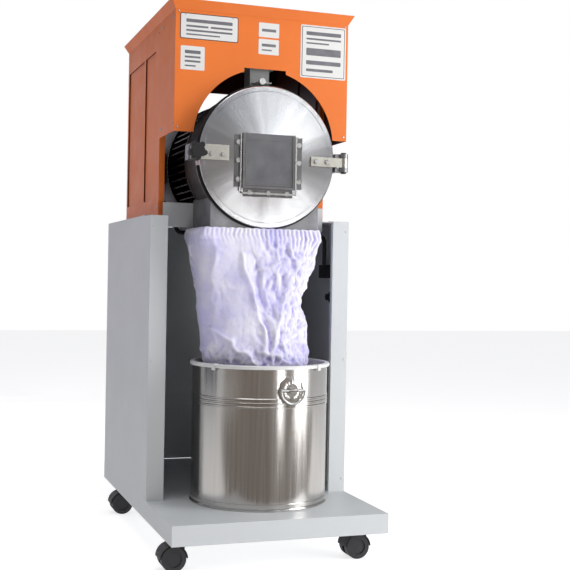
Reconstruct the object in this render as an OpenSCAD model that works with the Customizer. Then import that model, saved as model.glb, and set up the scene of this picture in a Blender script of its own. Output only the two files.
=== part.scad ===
// Domestic hammer mill: sheet cabinet on castors, hood with hopper, openable chamber, motor, bag and bin.
// Millimetres. X to the right, front towards -Y, Z up, origin on the floor under the middle.

/* [Cabinet] */
// Width of the cabinet
cabinet_w = 457; // [449:1:465]
// Height of the base tray
tray_h = 41; // [36:1:46]
// Height of the castors under the tray
castor_h = 60; // [60:1:64]
// Sheet thickness of the cabinet
sheet_t = 1.5; // [1.2:0.1:2]
// Width of the front flanges of the side panels
flange_w = 38; // [30:1:42]

/* [Hood] */
// Width of the hood
hood_w = 390; // [386:1:396]
// Height of the flared lip of the hopper
lip_h = 20; // [14:1:24]
// How far the lip flares outwards
lip_flare = 11; // [6:1:14]
// Radius of the arch in the front cover
arch_r = 158; // [156:1:162]

/* [Mill] */
// Radius of the chamber door
door_r = 150; // [149:1:152]
// Thickness of the chamber door
door_t = 9.5; // [8:0.5:9.5]
// Length of a swing hammer from its pin to its tip
hammer_l = 73; // [60:1:74]
// Radius of the circle of hammer pins
pin_circle = 58; // [56:1:58]

/* [Bin] */
// Outer radius of the bin
bin_r = 147.4; // [145:0.2:148]
// Height of the bin
bin_h = 299; // [298:1:299]
// Turn of the bin about its own axis
bin_turn = 9; // [0:0.1:20]

/* [Castors] */
// Radius of the castor wheels
wheel_r = 25; // [22:1:25]
// Distance from the king pin to the axle
trail = 17; // [14:1:18]

/* [Hidden] */
$fn = 64;
e = 0.01;
hw = cabinet_w / 2;
st = sheet_t;
tray_z = castor_h;
tray_top = tray_z + tray_h;
tray_y = 380;
fl_y = -137;
deck_y = -73.5;
rear_y = 378.5;
cab_top = 715;
hh = hood_w / 2;
hood_front = -193;
hood_rear = 313;
leg_front = -57;
cover_z = 887;
hood_top = 1143;
ax_z = 838;
fin_r = 146;
cowl_r = 150;
door_y = -233;
drum_r = 148;
drum_in = 143;
drum_y0 = -221;
drum_y1 = -115;
hinge_x = 174.5;
hinge_y = -230;
hinge_z = 834;
latch_x = -157;
latch_z = 842;
win_x = 1.5;
bin_x = 14;
bin_y = -162;
rocker_y = -40;
rocker_z = 600;
pin_d = pin_circle * cos(45);
castor_x = 196;
castor_yf = -317;
castor_yr = 225;

// screws along Z: x, y, seat of the head, shank radius, head radius, head height, shank length
zs = [
  [-215, -100, tray_top + st, 2.5, 4.5, 2.5, 8], [215, -100, tray_top + st, 2.5, 4.5, 2.5, 8],
  [-215, 340, tray_top + st, 2.5, 4.5, 2.5, 8], [215, 340, tray_top + st, 2.5, 4.5, 2.5, 8],
  [-217, -50, cab_top, 2.5, 4.5, 2.5, 8], [217, -50, cab_top, 2.5, 4.5, 2.5, 8],
  [-217, 340, cab_top, 2.5, 4.5, 2.5, 8], [217, 340, cab_top, 2.5, 4.5, 2.5, 8],
  [-184, -30, cab_top + 1.5, 2.5, 4.5, 2.5, 9], [184, -30, cab_top + 1.5, 2.5, 4.5, 2.5, 9],
  [-184, 280, cab_top + 1.5, 2.5, 4.5, 2.5, 9], [184, 280, cab_top + 1.5, 2.5, 4.5, 2.5, 9],
  [-131, -3, cab_top + 8, 4, 8, 5, 18], [131, -3, cab_top + 8, 4, 8, 5, 18],
  [-131, 39, cab_top + 8, 4, 8, 5, 18], [131, 39, cab_top + 8, 4, 8, 5, 18]];
// screws along Y: x, z, seat of the head, head direction, shank radius, head radius, head height, shank
ys = [
  [-188, 905, leg_front + 1.2, 1, 2, 4, 2, 5], [-188, 1015, leg_front + 1.2, 1, 2, 4, 2, 5],
  [-188, 1115, leg_front + 1.2, 1, 2, 4, 2, 5], [188, 905, leg_front + 1.2, 1, 2, 4, 2, 5],
  [188, 1015, leg_front + 1.2, 1, 2, 4, 2, 5], [188, 1115, leg_front + 1.2, 1, 2, 4, 2, 5],
  [-187, 1075, hood_rear + 1.2, 1, 2, 4, 2, 5], [-187, 1130, hood_rear + 1.2, 1, 2, 4, 2, 5],
  [187, 1075, hood_rear + 1.2, 1, 2, 4, 2, 5], [187, 1130, hood_rear + 1.2, 1, 2, 4, 2, 5],
  [-217, 140, rear_y, 1, 2, 4, 1.5, 6], [217, 140, rear_y, 1, 2, 4, 1.5, 6],
  [-217, 250, rear_y, 1, 2, 4, 1.5, 6], [217, 250, rear_y, 1, 2, 4, 1.5, 6],
  [-217, 450, rear_y, 1, 2, 4, 1.5, 6], [217, 450, rear_y, 1, 2, 4, 1.5, 6],
  [-217, 650, rear_y, 1, 2, 4, 1.5, 6], [217, 650, rear_y, 1, 2, 4, 1.5, 6]];

module box(a, b) { translate(a) cube(b - a); }
module ycyl(x, z, r, y0, y1) { translate([x, y0, z]) rotate([-90, 0, 0]) cylinder(r = r, h = y1 - y0); }
module xcyl(y, z, r, x0, x1) { translate([x0, y, z]) rotate([0, 90, 0]) cylinder(r = r, h = x1 - x0); }
module zcyl(x, y, r, z0, z1) { translate([x, y, z0]) cylinder(r = r, h = z1 - z0); }
module hexy(x, z, r, y0, y1) { translate([x, y0, z]) rotate([-90, 0, 0]) cylinder(r = r, h = y1 - y0, $fn = 6); }
module hexz(x, y, r, z0, z1) { translate([x, y, z0]) cylinder(r = r, h = z1 - z0, $fn = 6); }

module screw_holes() {
  for (a = [45:90:315]) ycyl(88 * cos(a), ax_z + 88 * sin(a), 3.15, -120, -95);
  for (s = zs) zcyl(s[0], s[1], s[3] + 0.15, s[2] - s[6] - 1, s[2] + e);
  for (s = ys) ycyl(s[0], s[1], s[4] + 0.15, s[2] - s[7] - 1, s[2] + e);
}

module base_tray() {
  color("gainsboro") difference() {
    box([-hw, -tray_y, tray_z], [hw, tray_y, tray_top]);
    box([-hw + st, -tray_y + st, tray_z + st], [hw - st, tray_y - st, tray_top - st]);
    box([-hw + 65, -tray_y + 30, tray_z - 1], [hw - 65, tray_y - 30, tray_z + st + 1]);
    screw_holes();
  }
}

module castor_plate(x, y) {
  difference() {
    box([x - 24, y - 24, tray_z - 3], [x + 24, y + 24, tray_z]);
    for (i = [-17, 17]) for (j = [-17, 17]) zcyl(x + i, y + j, 3, tray_z - 4, tray_z + 1);
  }
  zcyl(x, y, 4, 40, tray_z - 3 + e);
}

module castor_plates() {
  color("silver") {
    castor_plate(-castor_x, castor_yf);
    castor_plate(castor_x, castor_yf);
    castor_plate(-castor_x, castor_yr);
    castor_plate(castor_x, castor_yr);
  }
}

module side_panel() {
  box([-hw, fl_y, tray_top], [-hw + st, rear_y, cab_top - 2.5]);
  box([-hw, fl_y, tray_top], [-hw + flange_w, fl_y + st, cab_top - 2.5]);
  box([-hw + flange_w - st, fl_y, tray_top], [-hw + flange_w, fl_y + 12, cab_top - 2.5]);
  box([-hw, rear_y - st, tray_top], [-hw + 22, rear_y, cab_top - 2.5]);
  box([-hw, fl_y, tray_top], [-hw + 22, rear_y, tray_top + st]);
  box([-hw, fl_y, cab_top - 2.5 - st], [-hw + 22, rear_y, cab_top - 2.5]);
}

module left_side_panel() {
  color("gainsboro") difference() {
    side_panel();
    screw_holes();
  }
}

module right_side_panel() {
  color("gainsboro") difference() {
    mirror([1, 0, 0]) side_panel();
    box([hw - 5, rocker_y - 26, rocker_z - 16], [hw + 5, rocker_y + 26, rocker_z + 16]);
    xcyl(rocker_y, rocker_z - 60, 8.2, hw - 5, hw + 5);
    screw_holes();
  }
}

module lower_back_panel() {
  color("gainsboro") difference() {
    box([-hw + 1.6, rear_y - 3.1, tray_top + 1.6], [hw - 1.6, rear_y - 1.6, 287]);
    screw_holes();
  }
}

module upper_back_panel() {
  color("gainsboro") difference() {
    box([-hw + 1.6, rear_y - 4.7, 270], [hw - 1.6, rear_y - 3.2, cab_top - 4.2]);
    screw_holes();
  }
}

module motor_deck() {
  color("gainsboro") difference() {
    union() {
      box([-hw, deck_y, cab_top - 2.5], [hw, rear_y, cab_top]);
      box([-188, deck_y, 691], [188, deck_y + 1.5, 745]);
    }
    ycyl(0, ax_z, fin_r + 2, deck_y - 1, deck_y + 3);
    box([-94, deck_y - 1, cab_top - 5], [94, 320, cab_top + 5]);
    zcyl(-150, -40, 6.5, cab_top - 5, cab_top + 5);
    screw_holes();
  }
}

module machine_screws() {
  color("silver") {
    for (a = [45:90:315]) {
      ycyl(88 * cos(a), ax_z + 88 * sin(a), 3, -116, -97);
      hexy(88 * cos(a), ax_z + 88 * sin(a), 5.8, -119, -115);
    }
    for (s = zs) {
      zcyl(s[0], s[1], s[3], s[2] - s[6], s[2] + e);
      hexz(s[0], s[1], s[4], s[2], s[2] + s[5]);
    }
    for (s = ys) {
      ycyl(s[0], s[1], s[4], s[2] - s[7], s[2] + e);
      ycyl(s[0], s[1], s[5], s[2], s[2] + s[6]);
    }
  }
}

module recess(y0, y1, z0, z1) {
  difference() {
    box([-hh, y0, z0], [-hh + 4.2, y1, z1]);
    box([-hh - 1, y0 + 1.2, z0 + 1.2], [-hh + 3, y1 - 1.2, z1 - 1.2]);
  }
}

module hood_leg() {
  difference() {
    box([-hh, leg_front, cab_top], [-hh + 1.2, hood_rear, hood_top]);
    box([-hh - 1, -8, 753], [-hh + 2, 103, 1090]);
    box([-hh - 1, 118, 753], [-hh + 2, 303, 1090]);
  }
  recess(-8, 103, 753, 1090);
  recess(118, 303, 753, 1090);
  box([-hh, leg_front, cab_top], [-hh + 13, leg_front + 1.2, hood_top - 12]);
  box([-hh, hood_rear - 1.2, cab_top], [-hh + 15, hood_rear, hood_top]);
  box([-hh, leg_front, cab_top], [-hh + 20, hood_rear, cab_top + 1.5]);
}

module hood_left_leg() {
  color("darkorange") difference() {
    hood_leg();
    screw_holes();
  }
}

module hood_right_leg() {
  color("darkorange") difference() {
    mirror([1, 0, 0]) hood_leg();
    screw_holes();
  }
}

module hood_back_panel() {
  color("darkorange") difference() {
    box([-hh, hood_rear, 1060], [hh, hood_rear + 1.2, hood_top]);
    screw_holes();
  }
}

module hood_front_cover() {
  color("darkorange") difference() {
    union() {
      box([-hh, hood_front, cover_z], [hh, hood_front + 1.2, hood_top]);
      for (s = [0, 1]) mirror([s, 0, 0]) {
        box([-hh, hood_front, cover_z], [-hh + 1.2, leg_front, hood_top]);
        box([-hh, leg_front - 1.2, cover_z], [-hh + 13, leg_front, hood_top - 12]);
      }
    }
    ycyl(5, 872, arch_r, hood_front - 5, hood_front + 5);
    box([-43, hood_front - 5, 1000], [51, hood_front + 5, 1031]);
    screw_holes();
  }
}

module slope_block(x0, x1, y0, y1, z1, u0, u1, v0, v1, z0) {
  hull() {
    box([x0, y0, z1 - e], [x1, y1, z1]);
    box([u0, v0, z0], [u1, v1, z0 + e]);
  }
}

module hopper() {
  f = lip_flare;
  zt = hood_top + lip_h;
  color("darkorange") {
    difference() {
      slope_block(-hh - f, hh + f, hood_front - f, hood_rear + f, zt, -hh, hh, hood_front, hood_rear, hood_top);
      slope_block(-hh - f + 1.2, hh + f - 1.2, hood_front - f + 1.2, hood_rear + f - 1.2, zt + 0.1,
        -hh + 1.2, hh - 1.2, hood_front + 1.2, hood_rear - 1.2, hood_top - 0.1);
    }
    difference() {
      box([-hh, hood_front, hood_top], [hh, hood_rear, hood_top + 1.5]);
      box([-hh + 3.4, hood_front + 3.4, hood_top - 1], [hh - 3.4, hood_rear - 3.4, hood_top + 3]);
    }
    difference() {
      slope_block(-hh + 1.6, hh - 1.6, hood_front + 1.6, hood_rear - 1.6, hood_top + 1, -32, 24, -185, -133, 1034);
      slope_block(-hh + 3.4, hh - 3.4, hood_front + 3.4, hood_rear - 3.4, hood_top + 1.1, -24, 15, -178, -140, 1033.9);
    }
  }
}

module feed_chute() {
  color("darkgray") difference() {
    union() {
      box([-26, -180, 975], [17, -138, 1033]);
      box([-34, -187, 1032], [26, -131, 1034]);
      box([-32, -186, 975], [24, -132, 990]);
    }
    box([-24, -178, 970], [15, -140, 1035]);
    box([-24, -190, 999.1], [15, -140, 1000.9]);
    ycyl(0, ax_z, drum_r + 0.05, -230, -100);
  }
}

module feed_gate() {
  color("silver") difference() {
    union() {
      box([-23.7, -206, 999.3], [14.7, -140.4, 1000.7]);
      box([-20, -210, 999.3], [0, -205, 1000.7]);
      ycyl(-10, 1000, 7, -220, -209);
      ycyl(-10, 1000, 4.5, -209.1, -206);
    }
    box([-24, -204, 990], [-19, -199, 1010]);
  }
}

module drum_shell() {
  color("lightsteelblue") difference() {
    ycyl(0, ax_z, drum_r, drum_y0, drum_y1);
    ycyl(0, ax_z, drum_in, drum_y0 - 1, drum_y1 + 1);
    box([-24, -178, 900], [15, -140, 1010]);
    box([-112, -214, 650], [112, -122, ax_z - 60]);
  }
}

module drum_back_plate() {
  color("slategray") difference() {
    ycyl(0, ax_z, 149, drum_y1, drum_y1 + 6);
    ycyl(0, ax_z, 15.5, drum_y1 - 1, drum_y1 + 8);
    screw_holes();
  }
}

module chamber_gasket() {
  color("black") difference() {
    ycyl(0, ax_z, 147.5, drum_y0 - 2.3, drum_y0);
    ycyl(0, ax_z, 143.5, drum_y0 - 3, drum_y0 + 1);
  }
}

module screen() {
  color("gray") difference() {
    ycyl(0, ax_z, 142.9, -214, -122);
    ycyl(0, ax_z, 141.4, -215, -121);
    box([-160, -216, ax_z - 20], [160, -120, ax_z + 160]);
    for (a = [-6:6]) for (j = [0:4])
      translate([0, 0, ax_z]) rotate([0, a * 8, 0]) box([-3, -210 + j * 17.4, -146], [3, -197.5 + j * 17.4, -138]);
  }
}

module outlet_box() {
  color("silver") difference() {
    union() {
      box([-120, -222, 674], [120, -77, 722]);
      box([-120, -222, 700], [120, -115.2, 800]);
      box([-121.5, -223.5, 674], [121.5, -75.5, 678]);
      box([-120, -116, 700], [120, -77, 768]);
    }
    box([-118, -220, 670], [118, -79, 720]);
    box([-118, -220, 700], [118, -117.2, 810]);
    box([-118, -118, 722], [118, -79, 810]);
    ycyl(0, ax_z, 149.2, -230, -108.8);
    ycyl(0, ax_z, fin_r + 2, -130, -70);
  }
}

module drum_lugs() {
  color("dimgray") {
    difference() {
      union() {
        box([140, -221, hinge_z - 19.5], [163, -185, hinge_z + 19.5]);
        for (s = [-1, 1]) {
          box([155, hinge_y, hinge_z + s * 15 - 4.5], [hinge_x + 4, -212, hinge_z + s * 15 + 4.5]);
          zcyl(hinge_x, hinge_y, 9.5, hinge_z + s * 15 - 4.5, hinge_z + s * 15 + 4.5);
        }
      }
      ycyl(0, ax_z, drum_r + 0.05, -240, -100);
      ycyl(0, ax_z, door_r + 1, -240, drum_y0 - 0.2);
      zcyl(hinge_x, hinge_y, 4.02, hinge_z - 30, hinge_z + 30);
    }
    difference() {
      box([-169, -221, latch_z - 16], [-140, -192, latch_z + 16]);
      ycyl(0, ax_z, drum_r + 0.05, -240, -100);
      ycyl(latch_x, latch_z, 5, -222, -203);
    }
  }
}

module hinge_pin() {
  color("dimgray") {
    zcyl(hinge_x, hinge_y, 4, hinge_z - 21, hinge_z + 21);
    zcyl(hinge_x, hinge_y, 6, hinge_z - 22.5, hinge_z - 19.6);
    zcyl(hinge_x, hinge_y, 6, hinge_z + 19.6, hinge_z + 22.5);
  }
}

// bolts of the door: x, z, seat of the head, shank length
db = [
  [-66, 866, door_y - 1.5, 8], [-66, 828, door_y - 1.5, 8], [-66, 788, door_y - 1.5, 8],
  [69, 866, door_y - 1.5, 8], [69, 828, door_y - 1.5, 8], [69, 788, door_y - 1.5, 8],
  [-40, 761, door_y - 1.5, 8], [1.5, 761, door_y - 1.5, 8], [43, 761, door_y - 1.5, 8],
  [109, hinge_z, door_y - 4, 11], [134, hinge_z, door_y - 4, 11],
  [-98, 838, door_y - 4, 11], [-123, 838, door_y - 4, 11]];
module door_holes() { for (b = db) ycyl(b[0], b[1], 3.1, b[2] - e, b[2] + b[3] + 1); }

module chamber_door() {
  color("silver") difference() {
    translate([0, door_y, ax_z]) rotate([-90, 0, 0]) rotate_extrude($fn = 96)
      polygon([[0, 0], [door_r - 11, 0], [door_r - 10.4, 0.8], [door_r - 9.8, 0], [door_r - 1.5, 0],
        [door_r, 1.5], [door_r, door_t], [0, door_t]]);
    box([win_x - 43.5, door_y - 5, 789], [win_x + 43.5, door_y + 15, 886]);
    door_holes();
  }
}

module window_guide() {
  w = win_x;
  y = door_y;
  color("silver") difference() {
    union() {
      box([w - 75.5, y - 1.5, 772], [w - 57, y, 882]);
      box([w + 57, y - 1.5, 772], [w + 75.5, y, 882]);
      box([w - 55, y - 1.5, 753], [w + 55, y, 771.5]);
      for (s = [0, 1]) translate([w, 0, 0]) mirror([s, 0, 0]) {
        box([-58.2, y - 7, 770], [-56.7, y, 886]);
        box([-58.2, y - 7, 770], [-53, y - 5.8, 886]);
      }
      box([w - 58.2, y - 7, 770], [w + 58.2, y, 771.5]);
      box([w - 58.2, y - 7, 770], [w + 58.2, y - 5.8, 775]);
    }
    door_holes();
  }
}

module window_plate() {
  color([0.45, 0.46, 0.5, 0.6]) box([win_x - 56.3, door_y - 5.4, 771.9], [win_x + 56.3, door_y - 1.6, 886]);
}

module door_straps() {
  y = door_y;
  color("silver") {
    difference() {
      union() {
        box([97, y - 4, hinge_z - 10], [163, y, hinge_z + 10]);
        box([160, y - 4, hinge_z - 10], [hinge_x, y - 0.5, hinge_z + 10]);
        zcyl(hinge_x, hinge_y, 9.3, hinge_z - 10, hinge_z + 10);
      }
      zcyl(hinge_x, hinge_y, 4.06, hinge_z - 30, hinge_z + 30);
      door_holes();
    }
    difference() {
      box([-169, y - 4, 826], [-86, y, 858]);
      ycyl(latch_x, latch_z, 4.06, y - 5, y + 5);
      door_holes();
    }
  }
}

module door_bolts() {
  color("silver") for (b = db) {
    ycyl(b[0], b[1], 3, b[2] - e, b[2] + b[3]);
    hexy(b[0], b[1], 5.6, b[2] - 4, b[2]);
  }
}

module star_knob() {
  color([0.08, 0.08, 0.08]) {
    ycyl(latch_x, latch_z, 4, -245, -208);
    ycyl(latch_x, latch_z, 8, -241, -237.3);
    ycyl(latch_x, latch_z, 14, -257, -240);
    for (i = [0:4]) translate([latch_x, 0, latch_z]) rotate([0, 72 * i + 18, 0]) ycyl(14.5, 0, 6, -256, -242);
  }
}

module motor_frame() {
  color([0.25, 0.14, 0.1]) difference() {
    union() {
      ycyl(0, ax_z, 92, -90, 163);
      for (i = [0:59]) translate([0, 0, ax_z]) rotate([0, 6 * i + 3, 0]) box([85, -89.9, -1.6], [fin_r, 157, 1.6]);
      for (s = [-1, 1]) for (j = [-14, 28]) {
        box([s * 121 - 24, j, cab_top], [s * 121 + 24, j + 22, cab_top + 8]);
        box([s * 104 - 5, j, cab_top], [s * 104 + 5, j + 22, 800]);
      }
    }
    ycyl(0, ax_z, 80, -91, 164);
    screw_holes();
  }
}

module motor_end_shields() {
  color([0.25, 0.14, 0.1]) {
    difference() {
      ycyl(0, ax_z, fin_r, -109, -90);
      ycyl(0, ax_z, 78, -96, -89);
      difference() {
        ycyl(0, ax_z, 140, -103, -89);
        ycyl(0, ax_z, 103, -104, -88);
      }
      ycyl(0, ax_z, 26.05, -105, -88);
      ycyl(0, ax_z, 15.5, -110, -88);
      screw_holes();
    }
    difference() {
      ycyl(0, ax_z, cowl_r - 1.5, 163, 178);
      ycyl(0, ax_z, 78, 162, 168);
      difference() {
        ycyl(0, ax_z, 143, 162, 173);
        ycyl(0, ax_z, 99, 161, 174);
      }
      ycyl(0, ax_z, 26.05, 162, 175);
      ycyl(0, ax_z, 15.5, 162, 179);
    }
  }
}

module stator() {
  color("sienna") {
    difference() {
      ycyl(0, ax_z, 79.9, -40, 110);
      ycyl(0, ax_z, 57.6, -41, 111);
    }
    for (y = [-64, 110]) difference() {
      ycyl(0, ax_z, 76, y, y + 24);
      ycyl(0, ax_z, 61, y - 1, y + 25);
    }
  }
}

module bearings() {
  color("silver") for (y = [-105, 160]) difference() {
    ycyl(0, ax_z, 26, y, y + 14);
    ycyl(0, ax_z, 14.05, y - 1, y + 15);
  }
}

module fan_cowl() {
  color("gray") difference() {
    ycyl(0, ax_z, cowl_r, 60, 312);
    ycyl(0, ax_z, cowl_r - 1.4, 59, 310.5);
    for (a = [0:7]) for (r = [24, 46, 68, 90, 112])
      translate([0, 0, ax_z]) rotate([0, 45 * a, 0]) box([r, 305, -6], [r + 16, 315, 6]);
  }
}

module terminal_box() {
  color([0.12, 0.12, 0.13]) difference() {
    box([-189, 100, 800], [-142, 170, 872]);
    ycyl(0, ax_z, cowl_r + 0.1, 90, 180);
    zcyl(-176, 140, 4.85, 795, 820);
  }
}

module capacitor() {
  color([0.15, 0.15, 0.16]) {
    ycyl(172, 850, 18, 70, 170);
    ycyl(172, 850, 5, 169.9, 178);
    difference() {
      box([140, 90, 846], [172, 150, 852]);
      ycyl(0, ax_z, cowl_r + 0.1, 60, 180);
      ycyl(172, 850, 17.9, 60, 180);
    }
  }
}

lead = [[-176, 140, 812], [-176, 140, 778], [-180, 60, 768], [-178, 12, 757], [-150, -40, 728], [-150, -40, 681],
  [208, -40, 681], [208, -40, 612]];
lead_r = 4.6;
ln = 20;
function unit(v) = v / norm(v);
function bend(a, v, b, t) = let (p = v + unit(a - v) * t, q = v + unit(b - v) * t)
  [for (k = [0:6]) let (u = k / 6) p * (1 - u) * (1 - u) + v * 2 * u * (1 - u) + q * u * u];
lead_path = concat([lead[0]], [for (i = [1:len(lead) - 2]) each bend(lead[i - 1], lead[i], lead[i + 1], 14)],
  [lead[len(lead) - 1]]);
function along(p, i) = unit(p[min(i + 1, len(p) - 1)] - p[max(i - 1, 0)]);
function ring_pt(c, d, a) = let (u = unit(cross(d, [1, 1, 1])), w = cross(d, u)) c + lead_r * (cos(a) * u + sin(a) * w);
module motor_lead() {
  n = len(lead_path);
  pts = [for (i = [0:n - 1]) for (k = [0:ln - 1]) ring_pt(lead_path[i], along(lead_path, i), 360 * k / ln)];
  side = [for (i = [0:n - 2]) for (k = [0:ln - 1]) for (f = [0, 1])
    let (a = i * ln + k, b = i * ln + (k + 1) % ln) f == 0 ? [a, a + ln, b + ln] : [a, b + ln, b]];
  caps = [[for (k = [0:ln - 1]) k], [for (k = [0:ln - 1]) n * ln - 1 - k]];
  color([0.06, 0.06, 0.06]) polyhedron(points = pts, faces = concat(side, caps), convexity = 8);
}

module motor_shaft() {
  color("silver") {
    ycyl(0, ax_z, 12.5, -216, -118);
    ycyl(0, ax_z, 14, -118.1, 178);
    ycyl(0, ax_z, 9, 177.9, 250);
  }
}

module rotor_core() {
  color("silver") difference() {
    ycyl(0, ax_z, 57, -40, 110);
    ycyl(0, ax_z, 14.03, -41, 111);
  }
}

module pins(r, y0, y1) {
  for (i = [-1, 1]) for (j = [-1, 1]) ycyl(i * pin_d, ax_z + j * pin_d, r, y0, y1);
}

module rotor_hub() {
  color("slategray") {
    difference() {
      union() {
        ycyl(0, ax_z, 20, -206, -128);
        for (y = [-206, -172, -138]) ycyl(0, ax_z, 72, y, y + 4);
      }
      ycyl(0, ax_z, 12.54, -210, -120);
      pins(5.03, -210, -120);
    }
    pins(5, -208, -132);
    pins(8, -208, -206.02);
    pins(7, -133.98, -132);
  }
}

module rotor_nut() {
  color("silver") difference() {
    union() {
      ycyl(0, ax_z, 22, -208.4, -206.05);
      hexy(0, ax_z, 17, -215, -208.4);
    }
    ycyl(0, ax_z, 12.54, -220, -200);
  }
}

module hammer(i, j, y0) {
  x = i * pin_d;
  z = ax_z + j * pin_d;
  color("dimgray") difference() {
    union() {
      ycyl(x, z, 11, y0, y0 + 26);
      box([x - 11, y0 + 8, z - hammer_l], [x + 11, y0 + 18, z]);
      box([x - 11, y0 + 3, z - hammer_l], [x + 11, y0 + 23, z - hammer_l + 20]);
    }
    ycyl(x, z, 5.07, y0 - 1, y0 + 27);
  }
}

module hammer_1() { hammer(1, 1, -200); }
module hammer_2() { hammer(-1, 1, -166); }
module hammer_3() { hammer(-1, -1, -200); }
module hammer_4() { hammer(1, -1, -166); }

module cooling_fan() {
  color("black") difference() {
    union() {
      ycyl(0, ax_z, 20, 200, 240);
      ycyl(0, ax_z, 84, 200, 203);
      for (i = [0:6]) translate([0, 0, ax_z]) rotate([0, 51.4286 * i, 0]) box([15, 202, -1.5], [82, 236, 1.5]);
    }
    ycyl(0, ax_z, 9.04, 190, 260);
  }
}

module switch_housing() {
  y = rocker_y;
  z = rocker_z;
  color([0.1, 0.1, 0.1]) {
    difference() {
      union() {
        box([hw - 24, y - 25.5, z - 15.5], [hw, y + 25.5, z + 15.5]);
        box([hw, y - 30, z - 20], [hw + 2.5, y + 30, z + 20]);
      }
      box([hw - 14, y - 21, z - 11.5], [hw + 5, y + 21, z + 11.5]);
      zcyl(208, y, 4.9, z + 10, z + 20);
    }
    difference() {
      union() {
        xcyl(y, z - 60, 8, hw - 14, hw + 10);
        translate([hw, y, z - 60]) rotate([0, 90, 0]) cylinder(r = 12.5, h = 5, $fn = 6);
        translate([hw - 6.5, y, z - 60]) rotate([0, 90, 0]) cylinder(r = 12.5, h = 5, $fn = 6);
      }
      xcyl(y, z - 60, 4.6, hw - 15, hw + 12);
    }
  }
}

module switch_rocker() {
  color([0.75, 0.1, 0.08]) translate([hw - 4, rocker_y, rocker_z]) rotate([0, 0, 8]) {
    difference() {
      union() {
        rotate([90, 0, 90]) translate([0, 0, -3]) linear_extrude(height = 8) square([38, 21], center = true);
        zcyl(0, 0, 2, -11.3, 11.3);
      }
      box([1, -30, -15], [2, -29, 15]);
    }
  }
}

// rows of the filter sleeve: height, middle x, middle y, half width, half depth, roundness
rows = [[687, -5, -149.5, 130, 79, 20], [672, -5.5, -149.5, 136, 80, 18], [661, -5, -150, 139, 80.8, 6.5],
  [648, -4.7, -150, 141, 82, 4.2], [628, -4, -151, 140, 82, 3.4], [604, -4.7, -152, 134, 81, 3],
  [582, -7, -153, 126, 79, 2.8], [556, -11, -155, 116, 78, 2.6], [528, -11, -157, 114.5, 78, 2.4],
  [498, -6, -159, 117, 80, 2.3], [462, 1, -161, 119, 83, 2.2], [430, 3, -162, 118, 87, 2.1],
  [404, 6, -162, 117, 89, 2]];
bn = 40;
function sgn(v) = v < 0 ? -1 : 1;
function spow(v, n) = sgn(v) * pow(abs(v), 2 / n);
function bag_pt(r, i, t) = [r[1] + (r[3] - t) * spow(cos(360 * i / bn), r[5]),
  r[2] + (r[4] - t) * spow(sin(360 * i / bn), r[5]), r[0]];
function strip(a, k, i) = [a + k * bn + i, a + k * bn + (i + 1) % bn];
module filter_bag() {
  m = len(rows);
  pts = concat([for (r = rows) for (i = [0:bn - 1]) bag_pt(r, i, 0)],
    [for (r = rows) for (i = [0:bn - 1]) bag_pt(r, i, 1.6)]);
  o = m * bn;
  q = (m - 1) * bn;
  outer = [for (k = [0:m - 2]) for (i = [0:bn - 1]) for (f = [0, 1]) let (w = strip(0, k, i))
    f == 0 ? [w[0], w[0] + bn, w[1] + bn] : [w[0], w[1] + bn, w[1]]];
  inner = [for (k = [0:m - 2]) for (i = [0:bn - 1]) for (f = [0, 1]) let (w = strip(o, k, i))
    f == 0 ? [w[0], w[1] + bn, w[0] + bn] : [w[0], w[1], w[1] + bn]];
  top = [for (i = [0:bn - 1]) for (f = [0, 1]) let (b = (i + 1) % bn)
    f == 0 ? [i, b, o + b] : [i, o + b, o + i]];
  low = [for (i = [0:bn - 1]) for (f = [0, 1]) let (b = (i + 1) % bn)
    f == 0 ? [q + i, o + q + b, q + b] : [q + i, o + q + i, o + q + b]];
  color("white") polyhedron(points = pts, faces = concat(outer, inner, top, low), convexity = 6);
}

module bin_body() {
  r = bin_r;
  z = tray_top;
  color("silver") {
    translate([bin_x, bin_y, z]) rotate_extrude($fn = 96)
      polygon([[0, 0], [r - 3, 0], [r, 3], [r, 14], [r - 0.6, 15], [r - 0.6, 212], [r + 1, 213.5], [r + 1, 215.5],
        [r - 0.6, 217], [r - 0.6, 220], [r + 1, 221.5], [r + 1, 223.5], [r - 0.6, 225], [r - 0.6, 228],
        [r + 1, 229.5], [r + 1, 231.5], [r - 0.6, 233], [r - 0.6, bin_h - 4], [r - 1.8, bin_h - 4], [r - 1.8, 1.2], [0, 1.2]]);
    for (s = [0, 180]) translate([bin_x, bin_y, 0]) rotate([0, 0, bin_turn + s]) difference() {
      union() {
        ycyl(0, 351, 14, -r - 2.6, -r + 1.2);
        xcyl(-r - 7, 351, 4.6, -9, 9);
        box([-9, -r - 7, 347], [9, -r - 2, 355]);
      }
      xcyl(-r - 7, 351, 2.56, -10, 10);
    }
  }
}

module bin_ring() {
  r = bin_r;
  color("whitesmoke") {
    translate([bin_x, bin_y, 0]) rotate_extrude($fn = 96)
      polygon([[r - 3, 396.1], [r - 0.4, 396.1], [r - 0.4, 393.5], [r + 3.6, 393.5], [r + 4.6, 395],
        [r + 4.6, 399.5], [r + 3.4, 400.8], [r - 3, 400.8]]);
    for (a = [213, 307]) translate([bin_x, bin_y, 0]) rotate([0, 0, a]) difference() {
      box([r - 5, -5, 389], [r + 6.4, 5, 402]);
      box([r - 3, -6, 385], [r + 5.2, 6, 400.4]);
    }
  }
}

module drop_handle() {
  r = bin_r + 7;
  xcyl(-r, 351, 2.5, -28, 28);
  translate([0, -r, 351]) rotate([90, 0, 0]) rotate([0, 0, 180]) rotate_extrude(angle = 180, $fn = 48)
    translate([28, 0]) circle(r = 2.5, $fn = 24);
}

module bin_handle_front() {
  color("silver") translate([bin_x, bin_y, 0]) rotate([0, 0, bin_turn]) drop_handle();
}

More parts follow.
